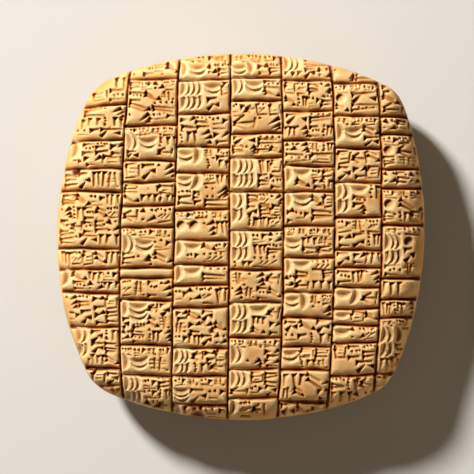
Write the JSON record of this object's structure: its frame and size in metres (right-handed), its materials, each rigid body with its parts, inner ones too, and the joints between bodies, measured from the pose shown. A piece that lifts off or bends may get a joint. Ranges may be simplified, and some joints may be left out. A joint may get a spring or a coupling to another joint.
{
  "type": "cuneiform clay tablet",
  "caption": "Square pillow-shaped clay tablet ruled into columns and cases, pressed with wedge strokes, crescents and round holes on its bulging face; flattened plain back.",
  "frame": {"origin": "middle of the flattened back, on the surface that the tablet lies on", "axes": "+Z out of the inscribed face, +Y towards the top edge of the writing, +X towards its right-hand edge"},
  "size_m": [0.1399, 0.14, 0.03],
  "materials": {
    "clay": "dry, matt, sun-dried or low-fired clay with a fine grain"
  },
  "bodies": {
    "root": {"tablet": "clay"}
  },
  "joints": []
}
